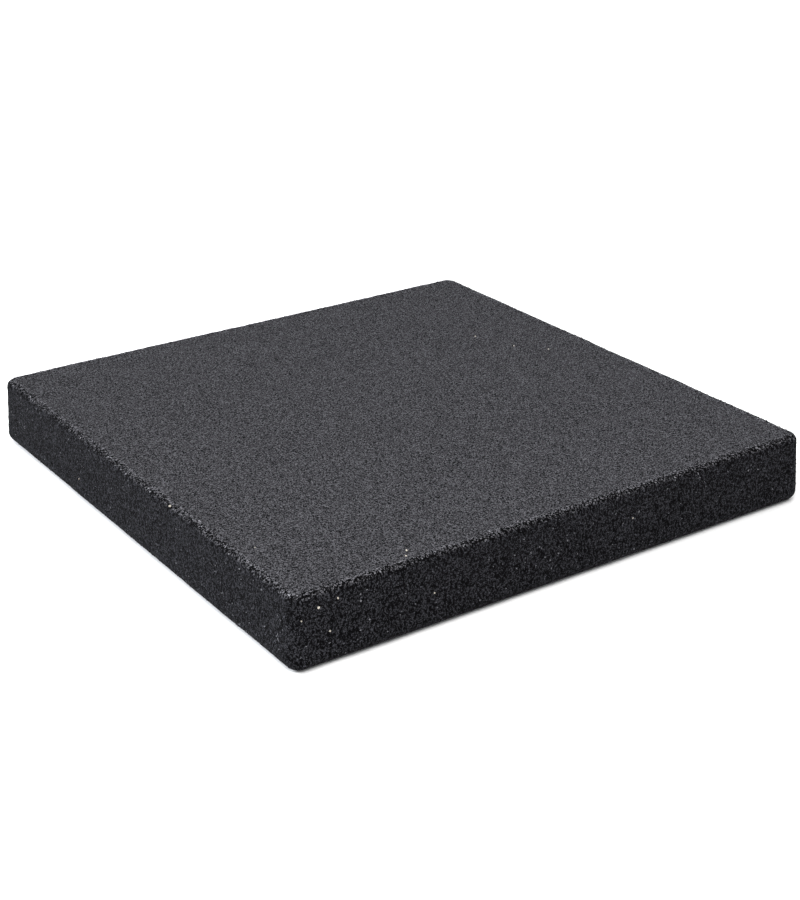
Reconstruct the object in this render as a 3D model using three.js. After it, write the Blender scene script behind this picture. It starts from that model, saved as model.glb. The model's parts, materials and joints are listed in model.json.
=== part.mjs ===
// A square gym floor tile: one slab of black crumb rubber, pressed with a binder in a mould.
// Millimetres, +Z up, the origin at the centre of the underside, the sides along X and Y.

import * as THREE from 'three';

// Overall sizes, measured over the widest line of the sides
const LENGTH = 500;
const WIDTH = 500;
const THICKNESS = 60;

// The sides lean inwards from that line to the top, so that the slab leaves its mould
const DRAFT_ANGLE = THREE.MathUtils.degToRad(2.5);

// Rounds: the four upright corners seen from above, and the two edges that run round the slab
const CORNER_RADIUS = 12;
const TOP_EDGE_RADIUS = 6;
const BOTTOM_EDGE_RADIUS = 10;

// The sharpest corner that the mould's crumb can fill
const LEAST_RADIUS = 0.5;

// Facets along each round
const CORNER_STEPS = 8;
const EDGE_STEPS = 6;

const rubber = new THREE.MeshStandardMaterial({ color: 0x2b2b2d, roughness: 0.92, metalness: 0 });

// The side's section from the underside to the top: x is how far a point stands out from the
// widest line, so never above zero, and y is its height
function sideSection() {
  const outward = new THREE.Vector2(Math.cos(DRAFT_ANGLE), Math.sin(DRAFT_ANGLE));
  const bottomCentre = new THREE.Vector2(-BOTTOM_EDGE_RADIUS, BOTTOM_EDGE_RADIUS);
  const topHeight = THICKNESS - TOP_EDGE_RADIUS;

  // The straight side touches both rounds, which fixes how far in the upper one lies
  const reach = bottomCentre.dot(outward) + BOTTOM_EDGE_RADIUS - TOP_EDGE_RADIUS;
  const topCentre = new THREE.Vector2((reach - topHeight * outward.y) / outward.x, topHeight);

  const bottomRound = new THREE.ArcCurve(
    bottomCentre.x, bottomCentre.y, BOTTOM_EDGE_RADIUS, -Math.PI / 2, DRAFT_ANGLE, false);
  const topRound = new THREE.ArcCurve(
    topCentre.x, topCentre.y, TOP_EDGE_RADIUS, DRAFT_ANGLE, Math.PI / 2, false);
  return [...bottomRound.getPoints(EDGE_STEPS), ...topRound.getPoints(EDGE_STEPS)];
}

// The tile's outline seen from above, moved in or out by a distance, anticlockwise from +X
function planOutline(standOut) {
  const radius = Math.max(LEAST_RADIUS, CORNER_RADIUS + standOut);
  const centreX = LENGTH / 2 + standOut - radius;
  const centreY = WIDTH / 2 + standOut - radius;
  const quarters = [[1, 1], [-1, 1], [-1, -1], [1, -1]];
  return quarters.flatMap(([sideX, sideY], quarter) => {
    const start = quarter * Math.PI / 2;
    const round = new THREE.ArcCurve(
      sideX * centreX, sideY * centreY, radius, start, start + Math.PI / 2, false);
    return round.getPoints(CORNER_STEPS);
  });
}

// One closed skin: an outline at each height of the section, joined by strips, and two flat caps
function slabGeometry() {
  const section = sideSection();
  const outlines = section.map((point) => planOutline(point.x));
  const count = outlines[0].length;
  const positions = outlines.flatMap((outline, level) =>
    outline.flatMap((point) => [point.x, point.y, section[level].y]));

  const triangles = [];
  for (let level = 0; level + 1 < outlines.length; level += 1) {
    for (let i = 0; i < count; i += 1) {
      const here = level * count + i;
      const beside = level * count + (i + 1) % count;
      triangles.push(here, beside, beside + count, here, beside + count, here + count);
    }
  }
  const topStart = (outlines.length - 1) * count;
  for (const [a, b, c] of THREE.ShapeUtils.triangulateShape(outlines[0], [])) {
    triangles.push(a, c, b);
    triangles.push(topStart + a, topStart + b, topStart + c);
  }

  const geometry = new THREE.BufferGeometry();
  geometry.setAttribute('position', new THREE.Float32BufferAttribute(positions, 3));
  geometry.setIndex(triangles);
  geometry.computeVertexNormals();
  return geometry;
}

const tile = new THREE.Group();
const slab = new THREE.Mesh(slabGeometry(), rubber);
slab.name = 'rubber_slab';
tile.add(slab);

export default tile;
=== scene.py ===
"""A square gym floor tile of black crumb rubber: its pressed skin and the grains that stand out of it."""
import json
import math

import bmesh
import bpy
from mathutils import Matrix, Vector

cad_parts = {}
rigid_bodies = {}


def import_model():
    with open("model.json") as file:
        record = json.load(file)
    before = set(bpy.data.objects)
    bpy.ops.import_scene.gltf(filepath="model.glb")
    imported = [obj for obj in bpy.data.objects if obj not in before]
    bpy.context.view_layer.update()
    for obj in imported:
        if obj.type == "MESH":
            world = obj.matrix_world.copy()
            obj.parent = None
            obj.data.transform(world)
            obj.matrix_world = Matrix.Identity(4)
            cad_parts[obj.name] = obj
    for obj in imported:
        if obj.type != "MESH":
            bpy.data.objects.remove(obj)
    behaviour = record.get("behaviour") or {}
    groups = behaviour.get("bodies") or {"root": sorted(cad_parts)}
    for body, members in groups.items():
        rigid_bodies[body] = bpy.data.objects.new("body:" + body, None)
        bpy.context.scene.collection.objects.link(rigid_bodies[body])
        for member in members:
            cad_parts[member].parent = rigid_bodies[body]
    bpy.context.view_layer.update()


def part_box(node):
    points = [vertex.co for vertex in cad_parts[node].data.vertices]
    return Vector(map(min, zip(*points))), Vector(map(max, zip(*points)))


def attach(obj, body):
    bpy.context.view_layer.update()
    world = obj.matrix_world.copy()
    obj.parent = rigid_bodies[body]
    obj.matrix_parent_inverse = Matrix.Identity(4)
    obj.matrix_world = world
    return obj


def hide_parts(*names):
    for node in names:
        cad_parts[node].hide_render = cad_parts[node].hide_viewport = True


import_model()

SLAB_LOW, SLAB_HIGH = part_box("rubber_slab")
BODY = "root"
MM = 0.001
# Two heights closer than this are the same level
HAIR = 1e-5

# How finely the slab is cut: steps of its rounds, cuts along and up its walls, and cells of the grids
# that fill its two flat faces
CORNER_STEPS = 11
FOOT_STEPS = 9
TOP_STEPS = 6
CUTS_ALONG = 100
CUTS_UP = 24
TREAD_CELLS = 96
UNDERSIDE_CELLS = 40
# Flat rings that keep the shading of the rounds off the flat faces: their number and breadth
TREAD_RINGS = 3
TREAD_RING = 0.0016
UNDERSIDE_RING = 0.001
# How much narrower than the slab the two grids are
TREAD_MARGIN = 0.038
UNDERSIDE_MARGIN = 0.046

# Where the grains lie: the height at which those of the walls start, how far they lap over the rim of the
# top edge, and how far in from the widest line the open top edge reaches
WALL_FOOT = 0.0022
WALL_LAP = 0.0003
EDGE_BREADTH = 0.0095

# The walls that get grains, by the axis that each looks along and its sign
WALLS = {
    "wall_minus_x": (0, -1),
    "wall_minus_y": (1, -1),
    "wall_plus_x": (0, 1),
    "wall_plus_y": (1, 1),
}

# Rubber this matt mirrors next to nothing; the highlights that a stronger mirror would give are painted into
# the colours of the grains and the top edge instead, as painted highlights
RUBBER_SPECULAR = 0.01

# Where the lamps hang, from the middle of the tile's foot, and how wide and how blue they are
OVERHEAD_PLACE = (0.0, 0.3, 2.0)
OVERHEAD_SPREAD = math.radians(110)
SIDE_PLACE = (-1.5, 1.95, 1.1)
SIDE_SPREAD = math.radians(20)
SIDE_TINT = (0.9, 0.95, 1.0)
FRONT_PLACE = (-0.55, -0.8, 1.2)
FRONT_BREADTH = 1.0

# The round floor, and the hair that it lies below the tile, so that the two faces don't share one plane
FLOOR_RADIUS = 60.0
FLOOR_DROP = 0.0002

# The photo's frame, in pixels, and the film that its long side is taken to fill
PHOTO_WIDTH = 800
PHOTO_HEIGHT = 900
FILM_MM = 36.0

bl_info = {
    "name": "Rubber floor tile",
    "version": (1, 0, 0),
    "blender": (4, 5, 0),
    "location": "3D View > Sidebar > Floor tile",
    "description": "Builds a pressed floor tile of crumb rubber, grain by grain",
    "category": "Object",
}


# Settings


class TileShape(bpy.types.PropertyGroup):
    """Sizes of the pressed slab."""

    width: bpy.props.FloatProperty(
        name="Width",
        description="Side of the square over the widest line of the walls",
        default=SLAB_HIGH[0] - SLAB_LOW[0],
        min=0.1,
        unit="LENGTH",
    )
    thickness: bpy.props.FloatProperty(
        name="Thickness",
        description="Height from the floor to the tread",
        default=SLAB_HIGH[2] - SLAB_LOW[2],
        min=0.02,
        unit="LENGTH",
    )
    draft: bpy.props.FloatProperty(
        name="Draft",
        description="How far the walls lean in towards the tread",
        default=math.radians(2.5),
        min=0.0,
        subtype="ANGLE",
    )
    corner_radius: bpy.props.FloatProperty(
        name="Corner radius",
        description="Radius of the upright corners",
        default=0.012,
        unit="LENGTH",
    )
    top_radius: bpy.props.FloatProperty(
        name="Top edge radius",
        description="Radius of the edge round the tread",
        default=0.006,
        unit="LENGTH",
    )
    foot_radius: bpy.props.FloatProperty(
        name="Foot edge radius",
        description="Radius of the edge round the underside",
        default=0.010,
        unit="LENGTH",
    )
    sway: bpy.props.FloatProperty(
        name="Sway of the walls",
        description="How far the pressed walls bulge and sink along their length",
        default=0.0009,
        unit="LENGTH",
    )
    lumps: bpy.props.FloatProperty(
        name="Lumps in the skin",
        description="How far buried grains push the skin out",
        default=0.0006,
        unit="LENGTH",
    )


class Crumb(bpy.types.PropertyGroup):
    """Sizes of the rubber grains and how thickly they lie."""

    grain: bpy.props.FloatProperty(
        name="Grain",
        description="Mean size of a grain",
        default=0.0015,
        unit="LENGTH",
    )
    wall_gap: bpy.props.FloatProperty(
        name="Spacing on the walls",
        description="Least distance between the middles of two grains on a wall",
        default=0.00127,
        unit="LENGTH",
    )
    edge_gap: bpy.props.FloatProperty(
        name="Spacing on the top edge",
        description="Least distance between the middles of two loose grains on the top edge",
        default=0.0015,
        unit="LENGTH",
    )
    tread_gap: bpy.props.FloatProperty(
        name="Spacing on the tread",
        description="Least distance between the middles of two grains on the tread",
        default=0.0052,
        unit="LENGTH",
    )
    shapes: bpy.props.IntProperty(
        name="Grain shapes",
        description="How many different grains are modelled",
        default=7,
        min=1,
    )


class RubberLook(bpy.types.PropertyGroup):
    """Colours of the rubber."""

    # Painted sheen: the tread is lighter than the walls partly as worn, dusty rubber and partly by the sheen
    # of the tread painted into its colour
    tread: bpy.props.FloatVectorProperty(
        name="Tread",
        description="Worn, slightly dusty rubber on the tread, lighter still by a painted sheen",
        default=(0.0413, 0.0407, 0.0446),
        size=3,
        subtype="COLOR",
    )
    # Painted shade: the walls' rubber is darker than the tread's to paint in the shade of their open, porous
    # crumb
    wall: bpy.props.FloatVectorProperty(
        name="Walls",
        description="Darker rubber on the walls, by a painted shade of their open crumb",
        default=(0.0135, 0.0135, 0.0154),
        size=3,
        subtype="COLOR",
    )
    pit: bpy.props.FloatVectorProperty(
        name="Pits",
        description="Shaded rubber deep between the grains",
        default=(0.0024, 0.0024, 0.0027),
        size=3,
        subtype="COLOR",
    )
    chalk: bpy.props.FloatVectorProperty(
        name="Grey grains",
        description="The greyest of the usual grains on the walls",
        default=(0.0657, 0.0669, 0.0775),
        size=3,
        subtype="COLOR",
    )
    # Painted glints: the palest grains stand partly for dusty crumb and partly for glints of light on the
    # grains' facets
    dust_and_glint: bpy.props.FloatVectorProperty(
        name="Dusty and glinting grains",
        description="The palest of the black grains",
        default=(0.113, 0.113, 0.1226),
        size=3,
        subtype="COLOR",
    )
    fleck: bpy.props.FloatVectorProperty(
        name="Pale flecks",
        description="The few cream grains in the mix",
        default=(0.5391, 0.4957, 0.4261),
        size=3,
        subtype="COLOR",
    )


class Studio(bpy.types.PropertyGroup):
    """Where the camera stands, how long its lens is and how bright the lamps are."""

    azimuth: bpy.props.FloatProperty(
        name="Azimuth",
        description="Turn of the camera round the tile, from its front",
        default=math.radians(-34.6956),
        subtype="ANGLE",
    )
    elevation: bpy.props.FloatProperty(
        name="Elevation",
        description="Height of the camera over the level",
        default=math.radians(24.2631),
        subtype="ANGLE",
    )
    distance: bpy.props.FloatProperty(
        name="Distance",
        description="From the tile to the camera",
        default=1.5134347,
        unit="LENGTH",
    )
    aside: bpy.props.FloatVectorProperty(
        name="Step aside",
        description="How far the camera stands to the right of the tile's middle, and above it",
        default=(0.0106923, 0.0159376),
        size=2,
        unit="LENGTH",
    )
    focal_px: bpy.props.FloatProperty(
        name="Focal length",
        description="Focal length in pixels of the photo",
        default=1727.677,
    )
    overhead: bpy.props.FloatProperty(
        name="Overhead lamp",
        description="Strength of the very wide lamp over the tile",
        default=1.9,
    )
    side: bpy.props.FloatProperty(
        name="Side lamp",
        description="Strength of the smaller lamp high at the left",
        default=4.1,
    )
    front: bpy.props.FloatProperty(
        name="Front lamp",
        description="Watts of the near lamp in front, whose light falls off towards the back of the tile",
        default=16.0,
    )
    sky: bpy.props.FloatProperty(
        name="Sky",
        description="Brightness of the pale room round the tile",
        default=0.53,
    )
    floor: bpy.props.FloatVectorProperty(
        name="Floor",
        description="Colour of the pale floor",
        default=(0.95, 0.95, 0.95),
        size=3,
        subtype="COLOR",
    )


# Nodes written as sums


class Wire:
    """The value that one socket gives, so that maths on it can be written as sums."""

    def __init__(self, bench, socket):
        self.bench = bench
        self.socket = socket

    def also(self, name):
        """Another output of the same node."""
        return Wire(self.bench, self.socket.node.outputs[name])

    def __abs__(self):
        return self.bench.node("ShaderNodeMath", {"operation": "ABSOLUTE"}, {0: self})

    def _sum(self, operation, first, second):
        return self.bench.node("ShaderNodeMath", {"operation": operation}, {0: first, 1: second})

    def __add__(self, other):
        return self._sum("ADD", self, other)

    def __radd__(self, other):
        return self._sum("ADD", other, self)

    def __sub__(self, other):
        return self._sum("SUBTRACT", self, other)

    def __rsub__(self, other):
        return self._sum("SUBTRACT", other, self)

    def __mul__(self, other):
        return self._sum("MULTIPLY", self, other)

    def __rmul__(self, other):
        return self._sum("MULTIPLY", other, self)

    def __truediv__(self, other):
        return self._sum("DIVIDE", self, other)

    def __pow__(self, other):
        return self._sum("POWER", self, other)


class Bench:
    """A node tree on the workbench."""

    def __init__(self, tree):
        self.tree = tree
        tree.nodes.clear()

    def node(self, kind, settings=None, values=None, output=0):
        """Adds a node: its settings first, then the values or links of its sockets."""
        made = self.tree.nodes.new(kind)
        for name, value in (settings or {}).items():
            setattr(made, name, value)
        for name, value in (values or {}).items():
            if isinstance(value, Wire):
                self.tree.links.new(value.socket, made.inputs[name])
            else:
                made.inputs[name].default_value = value
        return Wire(self, made.outputs[output]) if made.outputs else made

    def largest(self, first, second):
        """The larger of two values."""
        return self.node("ShaderNodeMath", {"operation": "MAXIMUM"}, {0: first, 1: second})

    def step(self, value, low, high):
        """0 below low, 1 above high, and a smooth rise between them."""
        return self.node(
            "ShaderNodeMapRange",
            {"interpolation_type": "SMOOTHSTEP"},
            {"Value": value, "From Min": low, "From Max": high},
        )

    def mix(self, factor, first, second):
        """A colour between two colours."""
        return self.node(
            "ShaderNodeMix",
            {"data_type": "RGBA"},
            {0: factor, 6: first, 7: second},
            output=2,
        )

    def noise(self, place, per_mm, detail=2.0, roughness=0.5):
        """Cloudy noise, so many waves to the millimetre."""
        return self.node(
            "ShaderNodeTexNoise",
            values={"Vector": place, "Scale": per_mm, "Detail": detail, "Roughness": roughness},
        )

    def cells(self, place, size_mm, feature="F1", output="Distance"):
        """Cells of a size in millimetres: by default, how far each point is from the middle of its cell."""
        return self.node(
            "ShaderNodeTexVoronoi",
            {"feature": feature},
            {"Vector": place, "Scale": 1.0 / size_mm},
            output=output,
        )


def rgba(colour):
    """A colour with its alpha."""
    return (colour[0], colour[1], colour[2], 1.0)


def new_material(name):
    """A bare material and the bench that its nodes are made on."""
    material = bpy.data.materials.new(name)
    material.use_nodes = True
    return material, Bench(material.node_tree)


def finish_material(bench, colour, roughness, height, height_mm, specular):
    """Joins colour, roughness and relief, so many millimetres deep, to one shader and to the output."""
    bump = bench.node(
        "ShaderNodeBump",
        values={"Strength": 1.0, "Distance": height_mm * MM, "Height": height},
    )
    shader = bench.node(
        "ShaderNodeBsdfPrincipled",
        values={
            "Base Color": colour,
            "Roughness": roughness,
            "Specular IOR Level": specular,
            "Normal": bump,
        },
    )
    bench.node("ShaderNodeOutputMaterial", values={"Surface": shader})


def in_millimetres(bench):
    """Object coordinates counted in millimetres."""
    place = bench.node("ShaderNodeTexCoord", output="Object")
    return bench.node("ShaderNodeVectorMath", {"operation": "SCALE"}, {0: place, "Scale": 1.0 / MM})


def pits_between_grains(bench, place, start):
    """Upright gaps in the walls and the top edge, at the same places in the skin and in the grains.

    The lower start is, the more of the surface is a pit. It may be a number or a wire. The gaps are painted
    dark where they are used: painted shade between the grains.
    """
    drawn_out = bench.node(
        "ShaderNodeVectorMath",
        {"operation": "MULTIPLY"},
        {0: place, 1: (1.0, 1.0, 0.6)},
    )
    return bench.step(bench.noise(drawn_out, 0.62, 2.0, 0.6), start, start + 0.03)


def times(colour, factor):
    """A brighter or darker shade of a colour."""
    return [part * factor for part in colour]


def pressed_skin_material(look, shape):
    """The slab's own skin: a fine pressed grain on the tread, and dark rubber between the walls' grains."""
    material, bench = new_material("pressed crumb rubber")
    place = in_millimetres(bench)

    # Which part a point is in: the loose top edge has a ragged inner rim, and the walls end below the tread
    along_x = bench.node("ShaderNodeSeparateXYZ", values={"Vector": place}, output="X")
    along_y = along_x.also("Y")
    height = along_x.also("Z")
    top = shape.thickness / MM
    half = shape.width / 2 / MM
    out = bench.largest(abs(along_x), abs(along_y))
    ragged = bench.noise(place, 0.35, 2.0) * 4.0
    loose = bench.step(out + ragged, half - 7.6, half - 6.8)
    upper = bench.step(height, top - 3.6, top - 0.3)
    open_part = bench.largest(loose, 1 - upper)

    # Two sizes of grain, each grain with its own tone
    crumb = bench.cells(place, 1.6)
    crumb_tone = bench.node("ShaderNodeSeparateColor", values={0: crumb.also("Color")})
    crumb_rim = bench.cells(place, 1.6, "DISTANCE_TO_EDGE")
    fine = bench.cells(place, 0.6)
    fine_tone = bench.node("ShaderNodeSeparateColor", values={0: fine.also("Color")})
    seam = 1 - bench.step(crumb_rim, 0.0, 0.2)

    # Small pores in the pressed tread, and deep pits where the crumb is open, most of all along the brink:
    # all painted in the pit colour as painted shade, and sunk in the relief
    clusters = bench.noise(place, 0.09, 3.0, 0.6)
    pores = bench.noise(place, 1.1, 1.0, 0.6)
    pore = bench.step(pores + clusters * 0.05, 0.64, 0.72)
    brink = bench.step(out, half - 8.0, half - 5.5) * upper * 0.07
    gap = pits_between_grains(bench, place, 0.53 - brink)
    pit = bench.largest(pore * (1 - open_part), gap * open_part)

    # The shades run round 1 and reach 3, so each mix takes a third of the shade as its factor, and its bright
    # end is 3 times the colour, or 4.5 times on the open edge, where the extra brightness is a painted
    # highlight along the top edge. The crumb term paints each crumb lighter in its middle and darker towards
    # its rim, and the seam term darker at the joins: painted light and shade of the crumbs' relief.
    shade = 1.15 + (crumb_tone - 0.5) * 1.0 + (fine_tone - 0.5) * 3.6 + (0.45 - crumb) * 3.0 - seam * 0.4
    open_shade = shade + (crumb_tone - 0.5) * 0.6 + (fine_tone - 0.5) * 2.6
    tread_colour = bench.mix(shade / 3, rgba(look.pit), rgba(times(look.tread, 3.0)))
    edge_colour = bench.mix(open_shade / 3, rgba(look.pit), rgba(times(look.tread, 4.5)))
    wall_colour = bench.mix(open_shade / 3, rgba(look.pit), rgba(times(look.wall, 3.0)))
    upper_colour = bench.mix(loose, tread_colour, edge_colour)
    # Painted shade: the pores and pits take the dark pit colour
    colour = bench.mix(pit, bench.mix(upper, wall_colour, upper_colour), rgba(look.pit))

    relief = crumb_tone * 0.6 + fine_tone * 0.4 - seam * 0.7 - pit * 1.6 - fine * 0.6
    roughness = 0.62 + crumb_tone * 0.2 - fine_tone * 0.12
    finish_material(bench, colour, roughness, relief, 0.3, RUBBER_SPECULAR)
    return material


def grain_material(name, dark, pale, rare, rare_from, spread, least, depth, pit_start=0.54, dim_below=None):
    """Loose grains: each takes its own tone, and a few are much paler than the rest.

    A grain's own draw, raised to the power spread and never under least, sets how far it goes from dark
    to pale; its bright specks are partly its own tone and partly painted glints. A draw above rare_from turns
    it
    towards the rare colour: partly paler crumb, partly painted glints. The pits between the grains
    darken it as far as depth says, as painted shade. Above the height dim_below, in millimetres, it grows
    from dim to its full tone, which paints shade down the top round.
    """
    material, bench = new_material(name)
    place = in_millimetres(bench)
    tone = bench.node("ShaderNodeAttribute", {"attribute_name": "tone"}, output="Fac")
    torn = bench.noise(place, 2.0, 2.0, 0.6)
    speck = bench.node("ShaderNodeSeparateColor", values={0: bench.cells(place, 0.9, output="Color")})
    # The bright specks are partly the grains' own tone and partly painted glints
    chalk = (least + (1 - least) * tone ** spread) * (0.05 + speck * speck * 2.8)
    # Painted shade in the gaps between the grains
    chalk = chalk * (1 - pits_between_grains(bench, place, pit_start) * depth)
    # Painted shade: darker lower down the top round
    if dim_below is not None:
        height = bench.node("ShaderNodeSeparateXYZ", values={"Vector": place}, output="Z")
        chalk = chalk * (0.3 + 0.7 * bench.step(height, dim_below, dim_below + 3.2))
    usual = bench.mix(chalk, rgba(dark), rgba(pale))
    # The rare pale grains are partly paler crumb and partly painted glints
    rareness = bench.step(tone, rare_from, 1.0) * bench.step(torn, 0.4, 0.6)
    colour = bench.mix(rareness, usual, rgba(rare))
    roughness = 0.70 - tone * 0.3
    finish_material(bench, colour, roughness, torn, 0.3, RUBBER_SPECULAR)
    return material


def floor_material(colour):
    """Pale seamless paper with a hardly visible tooth."""
    material, bench = new_material("pale studio paper")
    place = bench.node("ShaderNodeTexCoord", output="Object")
    tooth = bench.noise(place, 240.0, 2.0)
    sheet = bench.mix(tooth, rgba(times(colour, 0.985)), rgba(colour))
    finish_material(bench, sheet, 0.9, tooth, 0.02, 0.2)
    return material


# Modelling


def nothing_selected():
    """Leaves every object unselected and out of edit mode."""
    if bpy.context.object and bpy.context.object.mode != "OBJECT":
        bpy.ops.object.mode_set(mode="OBJECT")
    bpy.ops.object.select_all(action="DESELECT")


def work_on(piece):
    """Makes one object the only one selected and the active one."""
    nothing_selected()
    piece.select_set(True)
    bpy.context.view_layer.objects.active = piece


def choose(kind, test):
    """In edit mode, selects only the vertices, edges or faces that pass a test."""
    modes = bpy.context.tool_settings
    modes.mesh_select_mode = (kind == "verts", kind == "edges", kind == "faces")
    bpy.ops.mesh.select_all(action="DESELECT")
    mesh = bpy.context.object.data
    model = bmesh.from_edit_mesh(mesh)
    chosen = [part for part in getattr(model, kind) if test(part)]
    for part in chosen:
        part.select_set(True)
    model.select_flush_mode()
    bmesh.update_edit_mesh(mesh)
    if not chosen:
        raise RuntimeError(f"none of the {kind} was found")


def apply_modifiers(piece):
    """Applies each modifier of a piece in turn."""
    work_on(piece)
    for modifier in list(piece.modifiers):
        bpy.ops.object.modifier_apply(modifier=modifier.name)


def lowest(part):
    """Height of the lowest vertex of an edge or a face."""
    return min(vert.co.z for vert in part.verts)


def highest(part):
    """Height of the highest vertex of an edge or a face."""
    return max(vert.co.z for vert in part.verts)


def is_flat_end(face):
    """The large face with many corners that closes the slab at its top or at its bottom."""
    return len(face.verts) > 8 and abs(face.normal.z) > 0.9


def wall_reach(shape, height):
    """How far out the plane of a leaning wall is at a height.

    The wall touches the foot round just above the tile's widest line, so at the floor its plane lies further
    out than that line.
    """
    lean = math.tan(shape.draft)
    at_floor = shape.width / 2 + shape.foot_radius * (1 / math.cos(shape.draft) + lean - 1)
    return at_floor - lean * height


def settle_order():
    """Leaves edit mode and enters it again, so that the faces made so far keep one order.

    Without this their order changed from run to run, and the grains strewn on them fell in other places.
    """
    bpy.ops.object.mode_set(mode="OBJECT")
    bpy.ops.object.mode_set(mode="EDIT")


def round_edges(radius, turn, steps):
    """Rounds the selected edges to a radius, where the two faces of each meet at a turn."""
    bpy.ops.mesh.bevel(offset=radius * math.tan(turn / 2), segments=steps, profile=0.5, affect="EDGES")
    settle_order()


def fill_with_grid(level, side, cells, turn=0.0):
    """Puts an even grid inside the open rim at a level and joins the two, all in one plane.

    The grid is turned over for the underside, so that its outline runs the same way round as the rim there.
    """
    bpy.ops.mesh.select_all(action="DESELECT")
    bpy.ops.mesh.primitive_grid_add(
        x_subdivisions=cells,
        y_subdivisions=cells,
        size=side,
        location=(0, 0, level),
        rotation=(turn, 0, 0),
    )
    choose(
        "edges",
        lambda e: e.is_boundary and level - HAIR < lowest(e) and highest(e) < level + HAIR,
    )
    bpy.ops.mesh.bridge_edge_loops()
    settle_order()


def press_slab(shape):
    """The slab as it leaves the mould, with its walls, edges and faces cut fine enough to take relief."""
    top = shape.thickness
    foot_half = wall_reach(shape, 0.0)
    head_half = wall_reach(shape, top)

    nothing_selected()
    bpy.ops.mesh.primitive_cube_add(
        size=1,
        location=(0, 0, top / 2),
        scale=(2 * foot_half, 2 * foot_half, top),
    )
    slab = bpy.context.active_object
    slab.name = "rubber_tile"
    bpy.ops.object.transform_apply(location=True, rotation=True, scale=True)
    bpy.ops.object.mode_set(mode="EDIT")

    choose("verts", lambda v: v.co.z > top / 2)
    pull = head_half / foot_half
    bpy.ops.transform.resize(value=(pull, pull, 1), center_override=(0, 0, top))
    choose("edges", lambda e: highest(e) - lowest(e) > top / 2)
    round_edges(shape.corner_radius, math.pi / 2, CORNER_STEPS)
    choose("edges", lambda e: highest(e) < HAIR)
    round_edges(shape.foot_radius, math.pi / 2 + shape.draft, FOOT_STEPS)
    choose("edges", lambda e: lowest(e) > top - HAIR)
    round_edges(shape.top_radius, math.pi / 2 - shape.draft, TOP_STEPS)

    for _ in range(TREAD_RINGS):
        choose("faces", lambda f: is_flat_end(f) and f.normal.z > 0)
        bpy.ops.mesh.inset(thickness=TREAD_RING)
    choose("faces", lambda f: is_flat_end(f) and f.normal.z < 0)
    bpy.ops.mesh.inset(thickness=UNDERSIDE_RING)
    choose("edges", lambda e: e.calc_length() > shape.width / 2)
    bpy.ops.mesh.subdivide(number_cuts=CUTS_ALONG)
    choose("edges", lambda e: highest(e) - lowest(e) > top / 3)
    bpy.ops.mesh.subdivide(number_cuts=CUTS_UP)
    choose("faces", is_flat_end)
    bpy.ops.mesh.delete(type="ONLY_FACE")
    fill_with_grid(top, shape.width - TREAD_MARGIN, TREAD_CELLS)
    fill_with_grid(0.0, shape.width - UNDERSIDE_MARGIN, UNDERSIDE_CELLS, turn=math.pi)
    bpy.ops.mesh.select_all(action="SELECT")
    bpy.ops.mesh.normals_make_consistent(inside=False)
    bpy.ops.object.mode_set(mode="OBJECT")
    return slab


def weather_slab(slab, shape):
    """Pushes the walls in and out a little, and the tread far less, and leaves the underside flat."""
    full_from = 0.006
    tread_share = 0.12
    free = slab.vertex_groups.new(name="free of the floor")
    for vert in slab.data.vertices:
        rise = min(1.0, max(0.0, vert.co.z / full_from))
        share = tread_share if vert.co.z > shape.thickness - 1e-4 else 1.0
        free.add([vert.index], rise * share, "REPLACE")
    swell = bpy.data.textures.new("sway of the walls", "CLOUDS")
    swell.noise_scale = 0.045
    swell.noise_depth = 1
    knobs = bpy.data.textures.new("lumps in the skin", "CLOUDS")
    knobs.noise_scale = 0.0045
    knobs.noise_depth = 1
    for texture, strength in ((swell, shape.sway), (knobs, shape.lumps)):
        press = slab.modifiers.new(texture.name, "DISPLACE")
        press.texture = texture
        press.texture_coords = "LOCAL"
        press.direction = "NORMAL"
        press.mid_level = 0.5
        press.strength = strength
        press.vertex_group = free.name
    apply_modifiers(slab)
    slab.vertex_groups.clear()
    bpy.data.textures.remove(swell)
    bpy.data.textures.remove(knobs)
    work_on(slab)
    bpy.ops.object.shade_smooth()


def model_grains(crumb, material, label):
    """A few torn grains, each from a ball pulled out of shape, kept in a collection to be scattered."""
    tray = bpy.data.collections.new(label)
    bpy.context.scene.collection.children.link(tray)
    for index in range(crumb.shapes):
        nothing_selected()
        bpy.ops.mesh.primitive_ico_sphere_add(subdivisions=1, radius=crumb.grain / 2)
        grain = bpy.context.active_object
        grain.name = f"{label} {index}"
        bpy.ops.object.mode_set(mode="EDIT")
        bpy.ops.mesh.select_all(action="SELECT")
        bpy.ops.transform.vertex_random(offset=crumb.grain * 0.17, uniform=1.0, seed=11 + index)
        length = 1.05 + 0.13 * (index % 4)
        height = 0.62 + 0.05 * (index % 3)
        bpy.ops.transform.resize(value=(length, 0.92, height))
        bpy.ops.mesh.normals_make_consistent(inside=False)
        bpy.ops.object.mode_set(mode="OBJECT")
        grain.data.materials.append(material)
        for old in list(grain.users_collection):
            old.objects.unlink(grain)
        tray.objects.link(grain)
    return tray


def clear_tray(tray):
    """Takes the loose patterns away once they are scattered."""
    for grain in list(tray.objects):
        mesh = grain.data
        bpy.data.objects.remove(grain)
        bpy.data.meshes.remove(mesh)
    bpy.data.collections.remove(tray)


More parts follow.
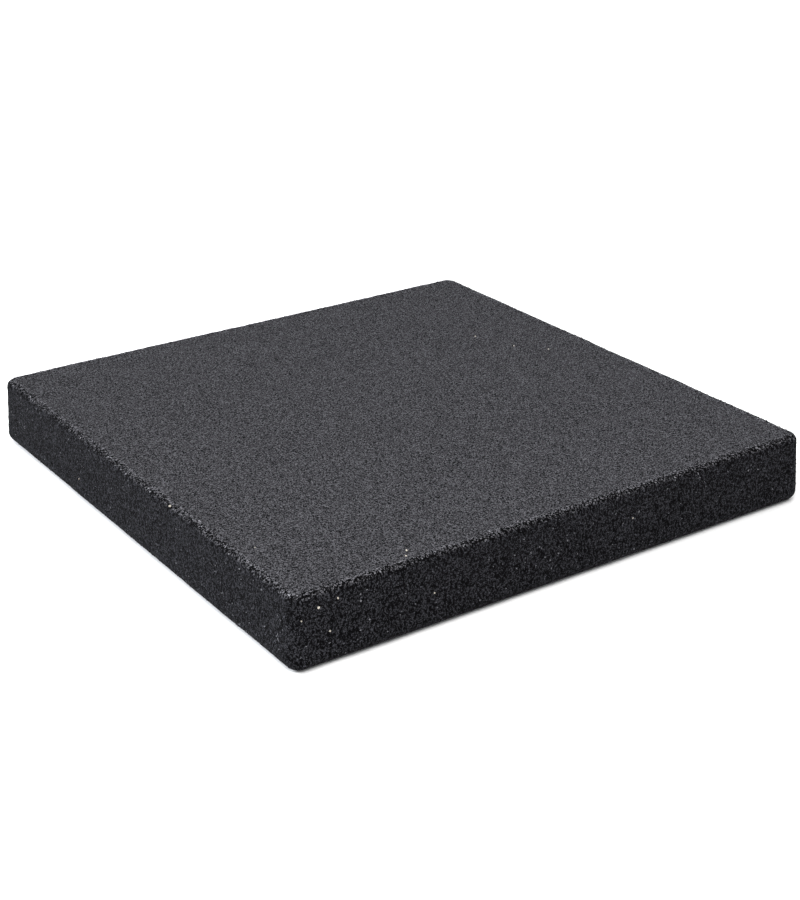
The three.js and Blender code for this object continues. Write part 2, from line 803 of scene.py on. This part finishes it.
def scatter_tree(tray, gap, size, sink, tilt, bare, seed):
    """The nodes that strew grains over the faces of a piece and leave only the grains.

    gap is the least distance between two grains. size and sink are the least and the most that a grain is
    scaled and pushed in, tilt is how far it leans, and where cloudy noise is under bare there are none.
    """
    tree = bpy.data.node_groups.new("strewn grains", "GeometryNodeTree")
    tree.interface.new_socket(name="Geometry", in_out="INPUT", socket_type="NodeSocketGeometry")
    tree.interface.new_socket(name="Geometry", in_out="OUTPUT", socket_type="NodeSocketGeometry")
    bench = Bench(tree)
    faces = bench.node("NodeGroupInput")
    patches = bench.node("ShaderNodeTexNoise", values={"Scale": 420.0, "Detail": 1.0})
    room = bench.step(patches, bare, bare + 0.12)
    # So many tries that the least distance alone sets how thickly the grains lie
    tries = 4.0 / (gap * gap)
    points = bench.node(
        "GeometryNodeDistributePointsOnFaces",
        {"distribute_method": "POISSON"},
        {
            "Mesh": faces,
            "Distance Min": gap,
            "Density Max": tries,
            "Density Factor": room,
            "Seed": seed,
        },
    )

    def draw(low, high, salt, is_vector=False):
        """A random number or vector for each grain. The node has its own sockets for either kind."""
        first = 0 if is_vector else 2
        return bench.node(
            "FunctionNodeRandomValue",
            {"data_type": "FLOAT_VECTOR" if is_vector else "FLOAT"},
            {first: low, first + 1: high, "Seed": seed + salt},
            output=0 if is_vector else 1,
        )

    depth = draw(-sink[1], -sink[0], 1)
    inward = bench.node(
        "ShaderNodeVectorMath",
        {"operation": "SCALE"},
        {0: points.also("Normal"), "Scale": depth},
    )
    seated = bench.node("GeometryNodeSetPosition", values={"Geometry": points, "Offset": inward})
    turn = draw((-tilt, -tilt, 0.0), (tilt, tilt, 2 * math.pi), 2, is_vector=True)
    facing = bench.node(
        "FunctionNodeRotateRotation",
        {"rotation_space": "LOCAL"},
        {0: points.also("Rotation"), 1: turn},
    )
    grains = bench.node(
        "GeometryNodeCollectionInfo",
        values={"Collection": tray, "Separate Children": True, "Reset Children": True},
    )
    laid = bench.node(
        "GeometryNodeInstanceOnPoints",
        values={
            "Points": seated,
            "Instance": grains,
            "Pick Instance": True,
            "Rotation": facing,
            "Scale": draw(size[0], size[1], 3),
        },
    )
    toned = bench.node(
        "GeometryNodeStoreNamedAttribute",
        {"data_type": "FLOAT", "domain": "INSTANCE"},
        {"Geometry": laid, "Name": "tone", "Value": draw(0.0, 1.0, 4)},
    )
    solid = bench.node("GeometryNodeRealizeInstances", values={"Geometry": toned})
    bench.node("NodeGroupOutput", values={"Geometry": solid})
    return tree


def strew(slab, name, where, tray, **laying):
    """A layer of grains over those faces of the slab that pass a test."""
    work_on(slab)
    bpy.ops.object.duplicate()
    layer = bpy.context.active_object
    layer.name = name
    bpy.ops.object.mode_set(mode="EDIT")
    choose("faces", lambda face: not where(face))
    bpy.ops.mesh.delete(type="FACE")
    bpy.ops.object.mode_set(mode="OBJECT")
    layer.data.materials.clear()
    tree = scatter_tree(tray, **laying)
    scatter = layer.modifiers.new("strewn grains", "NODES")
    scatter.node_group = tree
    apply_modifiers(layer)
    bpy.data.node_groups.remove(tree)
    layer.data.name = name
    if not layer.data.polygons:
        raise RuntimeError(f"{name} got no grains")
    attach(layer, BODY)


def lay_grains(slab, crumb, rubber, label, layers, seed, **laying):
    """Models grains of one rubber, strews them as one or more layers and takes their patterns away.

    layers gives the name of each layer and the test for the faces that it covers.
    """
    tray = model_grains(crumb, rubber, label)
    for number, (name, where) in enumerate(layers.items()):
        strew(slab, name, where, tray, seed=seed + number * 10, **laying)
    clear_tray(tray)


def wall_faces(axis, sign, low, high):
    """A test for the faces of the wall that looks along an axis, between two heights."""

    def test(face):
        out = face.normal
        looks_this_way = out[axis] * sign > abs(out[1 - axis])
        return looks_this_way and low < face.calc_center_median().z < high and abs(out.z) < 0.9

    return test


# Cream grains: the face that each lies in, how far along it and how high, and the grain's size, all in
# millimetres. On the tread the first two numbers are X and Y
FLECKS_MM = (
    ("minus_y", -227.1, 48.9, 2.1),
    ("minus_y", -211.1, 51.2, 1.6),
    ("minus_y", -218.8, 27.9, 1.6),
    ("minus_y", -241.3, 42.6, 1.1),
    ("minus_y", -129.2, 29.7, 1.4),
    ("minus_y", 61.0, 36.0, 1.3),
    ("minus_x", -67.8, 59.2, 1.9),
    ("minus_x", 92.0, 21.0, 1.3),
    ("plus_y", -150.0, 33.0, 2.2),
    ("plus_y", 24.0, 47.0, 1.6),
    ("plus_y", 131.0, 18.0, 1.9),
    ("plus_x", -172.0, 44.0, 2.0),
    ("plus_x", -31.0, 24.0, 1.5),
    ("plus_x", 203.0, 50.0, 2.3),
    ("tread", 163.5, 91.4, 1.5),
    ("tread", 177.9, 50.5, 1.4),
    ("tread", 199.0, 25.4, 1.6),
    ("tread", -228.5, -165.1, 1.2),
    ("tread", -141.2, -231.2, 1.8),
    ("tread", -146.3, -237.7, 1.4),
)


def on_surface(shape, side, along, height):
    """Where a point of a wall or of the tread lies, and which way that face looks."""
    if side == "tread":
        return (along, height, shape.thickness), (0.0, 0.0, 1.0)
    # Within the top round the surface falls back by about this share of the height gained
    fall_back = 0.3
    in_round = max(0.0, height - shape.thickness + shape.top_radius)
    reach = wall_reach(shape, height) - in_round * fall_back
    sign = -1 if side.startswith("minus") else 1
    if side.endswith("x"):
        return (sign * reach, along, height), (sign, 0.0, 0.0)
    return (along, sign * reach, height), (0.0, sign, 0.0)


def fleck_material(cream):
    """Cream rubber, a little soiled."""
    material, bench = new_material("cream grains")
    place = in_millimetres(bench)
    soil = bench.noise(place, 1.1, 2.0)
    colour = bench.mix(soil, rgba(cream), rgba(times(cream, 0.7)))
    finish_material(bench, colour, 0.6, soil, 0.1, 0.3)
    return material


def find_slab():
    """The pressed slab, which the grains are strewn on."""
    slab = bpy.data.objects.get("rubber_tile")
    if slab is None:
        raise RuntimeError("the slab has to be pressed before grains are laid on it")
    return slab


# Operators


class TILE_OT_studio(bpy.types.Operator):
    """Lay the pale floor, hang the soft lamps and set up the camera"""

    bl_idname = "tile.studio"
    bl_label = "Studio"

    def execute(self, context):
        studio = context.scene.tile_studio
        self.lay_floor(studio)
        self.hang_lamps(context, studio)
        self.set_camera(context, studio)
        context.scene.view_settings.view_transform = "Standard"
        return {"FINISHED"}

    def lay_floor(self, studio):
        nothing_selected()
        bpy.ops.mesh.primitive_circle_add(
            vertices=96,
            radius=FLOOR_RADIUS,
            fill_type="NGON",
            location=(0, 0, -FLOOR_DROP),
        )
        floor = bpy.context.active_object
        floor.name = "floor"
        bpy.ops.object.mode_set(mode="EDIT")
        bpy.ops.mesh.select_all(action="SELECT")
        bpy.ops.mesh.inset(thickness=FLOOR_RADIUS / 2)
        bpy.ops.object.mode_set(mode="OBJECT")
        floor.data.materials.append(floor_material(studio.floor))

    def hang_lamps(self, context, studio):
        room = bpy.data.worlds.new("pale room")
        room.use_nodes = True
        bench = Bench(room.node_tree)
        light = bench.node(
            "ShaderNodeBackground",
            values={"Color": (1.0, 1.0, 1.0, 1.0), "Strength": studio.sky},
        )
        bench.node("ShaderNodeOutputWorld", values={"Surface": light})
        context.scene.world = room
        overhead = self.lamp("overhead lamp", OVERHEAD_PLACE, studio.overhead)
        overhead.angle = OVERHEAD_SPREAD
        side = self.lamp("side lamp", SIDE_PLACE, studio.side)
        side.angle = SIDE_SPREAD
        side.color = SIDE_TINT
        front = self.lamp("front lamp", FRONT_PLACE, studio.front, "AREA")
        front.size = FRONT_BREADTH

    def lamp(self, name, place, strength, kind="SUN"):
        """Hangs a lamp that looks at the middle of the tile's foot, and gives its light data."""
        nothing_selected()
        bpy.ops.object.light_add(type=kind, location=place)
        lamp = bpy.context.active_object
        lamp.name = name
        lamp.data.energy = strength
        lamp.rotation_euler = (-Vector(place)).to_track_quat("-Z", "Y").to_euler()
        return lamp.data

    def set_camera(self, context, studio):
        azimuth = studio.azimuth
        elevation = studio.elevation
        back = Vector((
            math.sin(azimuth) * math.cos(elevation),
            -math.cos(azimuth) * math.cos(elevation),
            math.sin(elevation),
        ))
        right = Vector((0, 0, 1)).cross(back).normalized()
        up = back.cross(right)
        place = back * studio.distance + right * studio.aside[0] + up * studio.aside[1]
        bpy.ops.object.camera_add(location=place)
        camera = bpy.context.active_object
        camera.name = "camera"
        camera.rotation_euler = Matrix((right, up, back)).transposed().to_euler()
        camera.data.sensor_width = FILM_MM
        camera.data.lens = studio.focal_px * FILM_MM / max(PHOTO_WIDTH, PHOTO_HEIGHT)
        camera.data.clip_end = 100.0
        context.scene.camera = camera


class TILE_OT_slab(bpy.types.Operator):
    """Press the slab: its walls, rounds, tread and underside, in one closed skin"""

    bl_idname = "tile.slab"
    bl_label = "Pressed slab"

    def execute(self, context):
        shape = context.scene.tile_shape
        slab = press_slab(shape)
        weather_slab(slab, shape)
        slab.data.name = slab.name
        slab.data.materials.append(pressed_skin_material(context.scene.tile_look, shape))
        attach(slab, BODY)
        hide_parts("rubber_slab")
        return {"FINISHED"}


class TILE_OT_crumb(bpy.types.Operator):
    """Strew the torn grains over the four walls, the top edge and the tread"""

    bl_idname = "tile.crumb"
    bl_label = "Rubber grains"

    def execute(self, context):
        scene = context.scene
        shape = scene.tile_shape
        crumb = scene.tile_crumb
        look = scene.tile_look
        slab = find_slab()
        top = shape.thickness
        rim = top - shape.top_radius / 2
        inner = shape.width / 2 - EDGE_BREADTH

        def on_edge(face):
            spot = face.calc_center_median()
            return spot.z > rim and max(abs(spot.x), abs(spot.y)) > inner

        def on_tread(face):
            return face.normal.z > 0.9 and face.calc_center_median().z > top - 0.001

        # The rare pale wall grains are partly dusty crumb and partly painted glints, and the gaps on the
        # grains are painted dark as painted shade
        wall_rubber = grain_material(
            "wall grains",
            dark=look.pit,
            pale=look.chalk,
            rare=times(look.dust_and_glint, 2.2),
            rare_from=0.9,
            spread=1.6,
            least=0.2,
            depth=1.0,
        )
        walls = {name: wall_faces(*side, WALL_FOOT, rim + WALL_LAP) for name, side in WALLS.items()}
        lay_grains(
            slab,
            crumb,
            wall_rubber,
            "wall grain",
            walls,
            seed=100,
            gap=crumb.wall_gap,
            size=(0.7, 1.25),
            sink=(0.0003, 0.0007),
            tilt=0.45,
            bare=0.30,
        )

        # The edge grains are paler than the wall grains, partly as dusty crumb and partly as a painted
        # highlight along the top edge; they dim down the round as painted shade, and their gaps are painted
        # dark as painted shade
        edge_rubber = grain_material(
            "edge grains",
            dark=look.pit,
            pale=times(look.dust_and_glint, 1.5),
            rare=times(look.dust_and_glint, 3.0),
            rare_from=0.85,
            spread=1.3,
            least=0.15,
            depth=1.0,
            pit_start=0.48,
            dim_below=(top - 0.0032) / MM,
        )
        lay_grains(
            slab,
            crumb,
            edge_rubber,
            "edge grain",
            {"edge_crumb": on_edge},
            seed=200,
            gap=crumb.edge_gap,
            size=(0.6, 1.2),
            sink=(0.0001, 0.0005),
            tilt=0.5,
            bare=0.25,
        )

        # The palest tread grains are partly dusty crumb and partly painted glints
        tread_rubber = grain_material(
            "tread grains",
            dark=look.wall,
            pale=look.dust_and_glint,
            rare=look.dust_and_glint,
            rare_from=0.9,
            spread=1.3,
            least=0.25,
            depth=0.0,
        )
        lay_grains(
            slab,
            crumb,
            tread_rubber,
            "tread grain",
            {"tread_crumb": on_tread},
            seed=300,
            gap=crumb.tread_gap,
            size=(0.5, 1.1),
            sink=(0.0001, 0.0004),
            tilt=0.25,
            bare=0.0,
        )
        return {"FINISHED"}


class TILE_OT_flecks(bpy.types.Operator):
    """Press the few cream grains into the walls, the top edge and the tread"""

    bl_idname = "tile.flecks"
    bl_label = "Pale flecks"

    def execute(self, context):
        scene = context.scene
        shape = scene.tile_shape
        find_slab()
        grains = []
        for number, (side, along, height, size) in enumerate(FLECKS_MM):
            place, out = on_surface(shape, side, along * MM, height * MM)
            nothing_selected()
            bpy.ops.mesh.primitive_ico_sphere_add(subdivisions=1, radius=size * MM / 2, location=place)
            grain = bpy.context.active_object
            grain.rotation_euler = Vector(out).to_track_quat("Z", "Y").to_euler()
            bpy.ops.object.mode_set(mode="EDIT")
            bpy.ops.mesh.select_all(action="SELECT")
            bpy.ops.transform.vertex_random(offset=size * MM * 0.15, uniform=1.0, seed=500 + number)
            bpy.ops.mesh.normals_make_consistent(inside=False)
            bpy.ops.object.mode_set(mode="OBJECT")
            grains.append(grain)
        work_on(grains[0])
        for grain in grains:
            grain.select_set(True)
        bpy.ops.object.join()
        flecks = bpy.context.active_object
        bpy.ops.object.transform_apply(location=True, rotation=True, scale=True)
        flecks.name = "pale_flecks"
        flecks.data.name = flecks.name
        flecks.data.materials.append(fleck_material(scene.tile_look.fleck))
        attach(flecks, BODY)
        return {"FINISHED"}


class TILE_PT_panel(bpy.types.Panel):
    """The steps of the build, in order"""

    bl_idname = "TILE_PT_panel"
    bl_label = "Rubber floor tile"
    bl_space_type = "VIEW_3D"
    bl_region_type = "UI"
    bl_category = "Floor tile"

    def draw(self, context):
        column = self.layout.column()
        for step in STEPS:
            column.operator(step.bl_idname)


SETTINGS = {
    "tile_shape": TileShape,
    "tile_crumb": Crumb,
    "tile_look": RubberLook,
    "tile_studio": Studio,
}
STEPS = (TILE_OT_studio, TILE_OT_slab, TILE_OT_crumb, TILE_OT_flecks)
CLASSES = (*SETTINGS.values(), *STEPS, TILE_PT_panel)


def register():
    for cls in CLASSES:
        bpy.utils.register_class(cls)
    for name, group in SETTINGS.items():
        setattr(bpy.types.Scene, name, bpy.props.PointerProperty(type=group))


def unregister():
    for name in SETTINGS:
        delattr(bpy.types.Scene, name)
    for cls in reversed(CLASSES):
        bpy.utils.unregister_class(cls)


def main():
    register()
    bpy.ops.tile.studio()
    bpy.ops.tile.slab()
    bpy.ops.tile.crumb()
    bpy.ops.tile.flecks()


if __name__ == "__main__":
    main()
